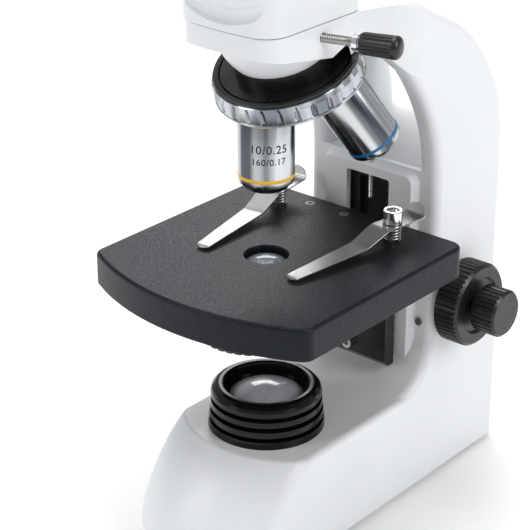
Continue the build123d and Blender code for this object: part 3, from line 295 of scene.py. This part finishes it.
def shape_now(target):
    """The mesh of an object as its modifiers or its font leave it."""
    bpy.context.view_layer.update()
    return bpy.data.meshes.new_from_object(target.evaluated_get(bpy.context.evaluated_depsgraph_get()))


def piece(name, points, faces, body, material, slot, *replaced, crease=35):
    """A new mesh piece on a body, smooth except at creases, standing for the CAD nodes it replaces."""
    mesh = closed_mesh(name, points, faces)
    mesh.materials.append(material)
    mesh.shade_smooth()
    mesh.set_sharp_from_angle(angle=radians(crease))
    made = link_object(name, mesh)
    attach(made, body)
    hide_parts(*replaced)
    return made


def across(axis):
    """Two unit vectors square to an axis and to each other."""
    side = axis.cross(Vector((0, 1, 0)) if abs(axis.y) < 0.8 else Vector((1, 0, 0))).normalized()
    return side, axis.cross(side)


def turned(profile, origin, axis, segments, ripple=None):
    """Points and faces of a profile of (radius, distance) in mm, turned round an axis."""
    side, other = across(axis)
    points = []
    faces = []
    for row, (radius, distance) in enumerate(profile):
        for step in range(segments):
            angle = 2 * pi * step / segments
            reach = radius + (ripple(angle, row) if ripple else 0)
            out = side * cos(angle) + other * sin(angle)
            points.append(origin + axis * distance * MM + out * reach * MM)
    rows = len(profile)
    for row in range(rows - 1):
        for step in range(segments):
            after = (step + 1) % segments
            faces.append((row * segments + step, row * segments + after, (row + 1) * segments + after,
                          (row + 1) * segments + step))
    return points, faces


ROWS_PER_PITCH = 8
THREAD_SEGMENTS = 28


def screw_thread(radius, depth, pitch, low, high, origin, axis):
    """Points and faces of a threaded rod between two distances along its axis, in mm."""
    count = int((high - low) / pitch * ROWS_PER_PITCH)
    rows = [(0.0, low)] + [(radius, low + (high - low) * step / count) for step in range(count + 1)]
    rows.append((0.0, high))

    def ripple(angle, row):
        if row in (0, count + 2):
            return 0
        turn = (rows[row][1] / pitch - angle / (2 * pi)) % 1
        return -depth * abs(2 * turn - 1) ** 1.5
    return turned(rows, origin, axis, THREAD_SEGMENTS, ripple)


def rounded_path(corners, radius, steps=8):
    """A bent line whose corners are rounded, as (u, z) points in mm."""
    path = [Vector(corners[0])]
    for before, here, after in zip(corners, corners[1:], corners[2:]):
        here = Vector(here)
        back = Vector(before) - here
        onward = Vector(after) - here
        reach = min(radius, back.length / 2, onward.length / 2)
        start = here + back.normalized() * reach
        end = here + onward.normalized() * reach
        for step in range(steps + 1):
            t = step / steps
            path.append(start * (1 - t) ** 2 + here * 2 * t * (1 - t) + end * t**2)
    path.append(Vector(corners[-1]))
    return path


def refine(path, longest):
    """The same line with no step longer than a limit."""
    fine = [path[0]]
    for before, after in zip(path, path[1:]):
        count = max(1, int((after - before).length / longest))
        fine += [before.lerp(after, (step + 1) / count) for step in range(count)]
    return fine


# stage clips: bent stainless strip, rounded upturned tail, narrow rounded tip
CLIP_HALF_T = 0.35
CLIP_EDGE = 0.12          # bevel along the strip's edges
CLIP_CORNERS = 8          # corners of the strip's bevelled section
CLIP_TAIL_R = 5.5
CLIP_TIP_R = 2.4
CLIP_TIP_W = 3.2
CLIP_TAPER = 30           # distance from the tail at which the strip starts to narrow
CLIP_HOLE_R = 1.58
CLIP_BEND_R = 1.6
CLIP_STEP = 0.5           # longest step along the strip
CLIP_FLAT = 7.9           # height of the strip's flat part above the stage
CLIP_BENDS = ((-16.3, CLIP_FLAT + 5.2), (-14.6, CLIP_FLAT), (8, CLIP_FLAT), (20.2, 3.2), (59.6, 1.25),
              (61.3, 0.7))
CLIP_BODIES = (("right", 1, "clip_r"), ("left", -1, "clip_l"))
PIVOT = Vector((32.0, 46.5))
TIP = Vector((24.6, -13.9))
STAGE_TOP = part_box("stage_plate")[1].z / MM


def clip_half_width(along, length):
    """Half width of the strip at a distance from its tail end."""
    left = length - along
    taper = min(1, max(0, (along - CLIP_TAPER) / (length - CLIP_TAPER)))
    half = CLIP_TAIL_R + (CLIP_TIP_W - CLIP_TAIL_R) * taper
    if along < CLIP_TAIL_R:
        half = (CLIP_TAIL_R**2 - (CLIP_TAIL_R - along) ** 2) ** 0.5
    if left < CLIP_TIP_R:
        half = CLIP_TIP_W - CLIP_TIP_R + (CLIP_TIP_R**2 - (CLIP_TIP_R - left) ** 2) ** 0.5
    return max(half, 0.25)


def clip(name, side, body, replaced):
    """The bent strip of one clip, from the tail behind its stud to the tip beside the stage hole."""
    pivot = Vector((side * PIVOT.x, PIVOT.y, STAGE_TOP))
    tip = Vector((side * TIP.x, TIP.y, STAGE_TOP))
    along = (tip - pivot).normalized()
    sideways = Vector((along.y, -along.x, 0))
    path = refine(rounded_path(CLIP_BENDS, CLIP_BEND_R), CLIP_STEP)
    length = sum((b - a).length for a, b in zip(path, path[1:]))
    points = []
    travelled = 0.0
    for count, here in enumerate(path):
        before = path[max(count - 1, 0)]
        after = path[min(count + 1, len(path) - 1)]
        travelled += (here - before).length
        tangent = (after - before).normalized()
        normal = Vector((-tangent.y, tangent.x))
        half = clip_half_width(travelled, length)
        inner = half - min(CLIP_EDGE, half * 0.4)
        low = CLIP_EDGE - CLIP_HALF_T
        for across_by, up in ((half, -low), (inner, CLIP_HALF_T), (-inner, CLIP_HALF_T), (-half, -low),
                              (-half, low), (-inner, -CLIP_HALF_T), (inner, -CLIP_HALF_T), (half, low)):
            place = here + normal * up
            points.append((pivot + along * place.x + sideways * across_by + Vector((0, 0, place.y))) * MM)
    faces = []
    for first in range(0, (len(path) - 1) * CLIP_CORNERS, CLIP_CORNERS):
        second = first + CLIP_CORNERS
        for step in range(CLIP_CORNERS):
            after = (step + 1) % CLIP_CORNERS
            faces.append((first + step, first + after, second + after, second + step))
    faces.append(tuple(range(CLIP_CORNERS)))
    faces.append(tuple(range(len(points) - CLIP_CORNERS, len(points))))
    return piece(name, points, faces, body, CLIP_STEEL, "steel", replaced, crease=30)


def drill(target, radius, origin, axis, length):
    """Cuts a round hole through a piece."""
    rod = [(0, 0), (radius, 0), (radius, length), (0, length)]
    cutter = link_object("drill", closed_mesh("drill", *turned(rod, origin, axis, 32)))
    cut = target.modifiers.new("hole", "BOOLEAN")
    cut.operation = "DIFFERENCE"
    cut.solver = "EXACT"
    cut.object = cutter
    result = shape_now(target)
    target.modifiers.remove(cut)
    target.data = result
    bpy.data.objects.remove(cutter)


for side_name, side, body in CLIP_BODIES:
    strip = clip("stage_clip_" + side_name, side, body, "clip_" + side_name)
    below = Vector((side * PIVOT.x, PIVOT.y, STAGE_TOP + CLIP_FLAT - 2)) * MM
    drill(strip, CLIP_HOLE_R, below, Vector((0, 0, 1)), 4)

# clip studs: hollow chrome caps with a groove, on plain pins
STUD_PROFILE = ((0, -7), (3.9, -7), (3.9, -4.1), (1.5, -4.1), (1.5, 8.45), (4.0, 8.45), (4.2, 8.65),
                (4.2, 9.7), (3.9, 9.85), (3.9, 10.15), (4.2, 10.3), (4.2, 13.9), (3.8, 14.3), (3.1, 14.3),
                (2.8, 14.0), (2.7, 12.1), (2.3, 11.9), (0, 11.9))
for side_name, side, _ in CLIP_BODIES:
    foot = Vector((side * PIVOT.x, PIVOT.y, STAGE_TOP)) * MM
    piece("clip_stud_" + side_name, *turned(STUD_PROFILE, foot, Vector((0, 0, 1)), 48), "stage", CHROME,
          "steel", "clip_studs")

# stop screw in the focus slot and lock screw of the head: real threads
STOP_R, STOP_THREAD, STOP_PITCH = 1.4, 0.25, 0.8
stop_low, stop_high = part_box("stop_screw")
stop_origin = Vector(((stop_low.x + stop_high.x) / 2, (stop_low.y + stop_high.y) / 2, 0))
piece("stop_screw_thread",
      *screw_thread(STOP_R, STOP_THREAD, STOP_PITCH, stop_low.z / MM, stop_high.z / MM, stop_origin,
                    Vector((0, 0, 1))),
      "root", STEEL, "steel", "stop_screw", crease=60)

LOCK_ORIGIN = Vector((0, -1.6, 232.8)) * MM
LOCK_TURN = radians(15.5)
LOCK_AXIS = Vector((cos(LOCK_TURN), sin(LOCK_TURN), 0))
LOCK_R, LOCK_THREAD, LOCK_PITCH = 2.0, 0.42, 1.0
LOCK_START, LOCK_END = 17.9, 38.9
piece("lock_screw_thread",
      *screw_thread(LOCK_R, LOCK_THREAD, LOCK_PITCH, LOCK_START, LOCK_END, LOCK_ORIGIN, LOCK_AXIS),
      "lock", THREAD_STEEL, "steel", "lock_screw", crease=60)
COLLAR = ((0, 38.9), (3.3, 38.9), (3.6, 39.2), (3.6, 41.4), (3.2, 41.6), (3.2, 42.0), (0, 42.0))
piece("lock_collar", *turned(COLLAR, LOCK_ORIGIN, LOCK_AXIS, 40), "lock", ALUMINIUM, "steel", "lock_screw")

KNOB_PROFILE = ((0, 42.0), (3.6, 42.0), (4.0, 42.2), (4.45, 42.9), (4.55, 44), (4.6, 48), (4.7, 52),
                (4.8, 55.4), (4.8, 55.8), (4.85, 56.0), (4.9, 56.6), (4.75, 57.4), (4.3, 58.3), (3.4, 58.9),
                (2.0, 59.25), (0.9, 59.35), (0, 59.4))
KNOB_SPLINES = 18
SPLINE_STEPS = 10
SPLINE_DEPTH = 0.42
SPLINE_ROWS = range(3, 9)


def splines(angle, row):
    """Narrow ribs along the knob, run out at both ends."""
    if row in SPLINE_ROWS:
        return -SPLINE_DEPTH * (0.5 - 0.5 * cos(angle * KNOB_SPLINES)) ** 0.7
    return 0


piece("lock_knob_grip",
      *turned(KNOB_PROFILE, LOCK_ORIGIN, LOCK_AXIS, KNOB_SPLINES * SPLINE_STEPS, splines), "lock",
      BLACK_PLASTIC, "black_plastic", "lock_knob", crease=50)

# ring of the nosepiece: wide flats between narrow grooves, plain bands above and below
RING_GROOVES = 28
RING_STEPS = 16
GROOVE_WIDTH = 0.32       # part of the pitch that a groove takes up
RING_PROFILE = ((30.5, -34.7), (31.0, -34.7), (31.3, -35.0), (31.6, -36.1), (31.75, -36.5), (31.95, -37.0),
                (32.0, -37.6), (32.1, -41.4), (32.05, -41.9), (31.75, -42.1), (31.75, -42.3), (32.1, -42.5),
                (32.2, -42.8), (32.2, -43.2), (32.0, -43.4), (30.5, -43.4))
GROOVE_DEPTH = (0, 0, 0, 0.35, 0.7, 0.95, 1.1, 1.15, 1.1, 0.7, 0, 0, 0, 0, 0, 0)


def grooves(angle, row):
    """A narrow round-bottomed groove at each step of the ring."""
    place = abs((angle * RING_GROOVES / (2 * pi)) % 1 - 0.5) * 2
    return -GROOVE_DEPTH[row] * max(0, 1 - (place / GROOVE_WIDTH) ** 2)


piece("knurled_ring", *turned(RING_PROFILE, APEX, NOSEPIECE_AXIS, RING_GROOVES * RING_STEPS, grooves),
      "nosepiece", RING_METAL, "aluminium", "knurl_ring", crease=28)

# objectives: barrel with a narrow colour ring above a polished lip, black mount of the front lens;
# each row gives name, turn round the nosepiece, colour, its slot, top and bottom of the colour ring,
# outline of the lip, outline of the mount, and radius of the lens
BARREL_TOP = ((0, -43), (7.9, -43), (7.9, -45), (11.5, -45), (11.5, -52.05), (11.1, -52.05), (11.1, -53.05),
              (11.9, -53.1), (12, -53.3))
BARREL_R = 12
BAND_SEAT_R = 11.4
BAND_R = 12.1
LENS_DEPTH = 0.8
OBJECTIVES = (
    ("objective_10", 0, YELLOW, "yellow", -76.4, -77.9, ((12, -79.6), (11.6, -80.3), (10.6, -80.9)),
     ((10.5, -80.9), (10.3, -81.4), (8.8, -83.1), (8.4, -83.3)), 3),
    ("objective_40", 120, BLUE, "blue", -80.8, -82.2,
     ((12, -83.8), (11.5, -84.7), (10, -85.3), (6.6, -85.8)),
     ((6.4, -85.8), (6, -87.8), (4.3, -89.8), (4, -90)), 1.6),
    ("objective_4", 240, RED, "red", -59.3, -60.7, ((12, -62.2), (11.6, -62.9), (10.6, -63.5)),
     ((10.5, -63.5), (10.3, -64), (9, -65.3), (8.6, -65.5)), 5),
)
for name, angle, colour, colour_slot, ring_top, ring_low, lip, mount, glass_r in OBJECTIVES:
    axis = Matrix.Rotation(radians(angle), 3, NOSEPIECE_AXIS) @ Vector((0, 0, 1))
    lip_end = lip[-1][1]
    end = mount[-1][1]
    rim = glass_r - 0.02
    barrel = (*BARREL_TOP, (BARREL_R, ring_top), (BAND_SEAT_R, ring_top), (BAND_SEAT_R, ring_low),
              (BARREL_R, ring_low), *lip, (0, lip_end))
    band = ((BAND_SEAT_R, ring_top), (BAND_R - 0.06, ring_top), (BAND_R, ring_top - 0.1),
            (BAND_R, ring_low + 0.1), (BAND_R - 0.06, ring_low), (BAND_SEAT_R, ring_low),
            (BAND_SEAT_R, ring_top))
    tip = ((0, lip_end - 0.02), *mount, (glass_r, end), (glass_r, end + LENS_DEPTH), (0, end + LENS_DEPTH))
    lens = ((0, end + LENS_DEPTH - 0.02), (rim, end + LENS_DEPTH - 0.02), (rim, end + LENS_DEPTH / 2),
            (glass_r / 2, end + 0.25), (0, end + 0.2))
    # the barrel's dark to bright colour streaks are painted reflections
    polished = turned_metal(name + "_chrome", axis, (0.095, 0.105, 0.12), (0.64, 0.65, 0.67))
    for ending, profile, material, slot, replaced in (
            ("_barrel", barrel, polished, "chrome", name),
            ("_band", band, colour, colour_slot, name + "_ring"),
            ("_tip", tip, BLACK_STEEL, "black_steel", name + "_nose"),
            ("_lens", lens, GLASS, "glass", "objective_lenses")):
        piece(name + ending, *turned(profile, APEX, axis, 96), "nosepiece", material, slot, replaced)

# numbers on the 10x objective: magnification and aperture, tube length and cover glass
TEXT_R = 12.03
TEXT_TURN = radians(-45)
TEXT_FACET = 0.25         # longest straight edge of a figure before it is bent round the barrel


def barrel_text(name, words, size, height):
    """Flat black figures wrapped round the vertical objective, facing the observer's right."""
    curve = bpy.data.curves.new(name, "FONT")
    curve.body = words
    curve.size = size
    curve.align_x = "CENTER"
    curve.space_character = 1.1
    curve.offset = 0.06
    flat = link_object(name + "_flat", curve)
    mesh = shape_now(flat)
    bpy.data.objects.remove(flat)
    work = bmesh.new()
    work.from_mesh(mesh)
    bmesh.ops.triangulate(work, faces=work.faces)
    long_edges = [edge for edge in work.edges if edge.calc_length() > TEXT_FACET]
    bmesh.ops.subdivide_edges(work, edges=long_edges, cuts=3, use_grid_fill=True)
    for vertex in work.verts:
        angle = vertex.co.x / TEXT_R + TEXT_TURN
        vertex.co = Vector((cos(angle) * TEXT_R, sin(angle) * TEXT_R, height + vertex.co.y)) * MM
    work.to_mesh(mesh)
    work.free()
    mesh.materials.clear()
    mesh.materials.append(BLACK_PLASTIC)
    made = link_object(name, mesh)
    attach(made, "nosepiece")


barrel_text("objective_10_figures", "10/0.25", 5.0, 183.0)
barrel_text("objective_10_figures_small", "160/0.17", 3.9, 178.0)

# ---- floor and lights ---------------------------------------------------------------------------
FLOOR_SIZE = 8.0
FLOOR_COLOUR = (0.98, 0.98, 0.98)


def make_floor():
    mesh = bpy.data.meshes.new("floor")
    half = FLOOR_SIZE / 2
    mesh.from_pydata([(-half, -half, 0), (half, -half, 0), (half, half, 0), (-half, half, 0)], [],
                     [(0, 1, 2, 3)])
    floor = link_object("floor", mesh)
    shader = Shader("floor_paper")
    shader.colours(shader.noise(2), FLOOR_COLOUR, tuple(c * 0.99 for c in FLOOR_COLOUR))
    shader.roughness(shader.noise(5), 0.7, 0.85)
    mesh.materials.append(shader.material)


def area_light(name, place, aim, size, power):
    data = bpy.data.lights.new(name, "AREA")
    data.shape = "RECTANGLE"
    data.size, data.size_y = size
    data.energy = power
    light = link_object(name, data)
    light.location = place
    light.rotation_euler = (Vector(aim) - Vector(place)).to_track_quat("-Z", "Y").to_euler()


make_floor()
world = bpy.data.worlds.new("studio")
world.use_nodes = True
world.node_tree.nodes["Background"].inputs["Color"].default_value = (0.95, 0.97, 1.0, 1)
world.node_tree.nodes["Background"].inputs["Strength"].default_value = 0.44
bpy.context.scene.world = world
MIDDLE = (0, 0.03, 0.15)
area_light("key", (3.4, 0.3, 2.4), MIDDLE, (1.8, 2.2), 72)
area_light("top", (-0.8, 0.2, 5.0), MIDDLE, (3.4, 3.4), 150)
area_light("fill", (-1.9, -3.0, 1.9), MIDDLE, (1.2, 2.0), 34)
area_light("back", (-2.4, 2.9, 1.9), MIDDLE, (1.8, 1.0), 26)
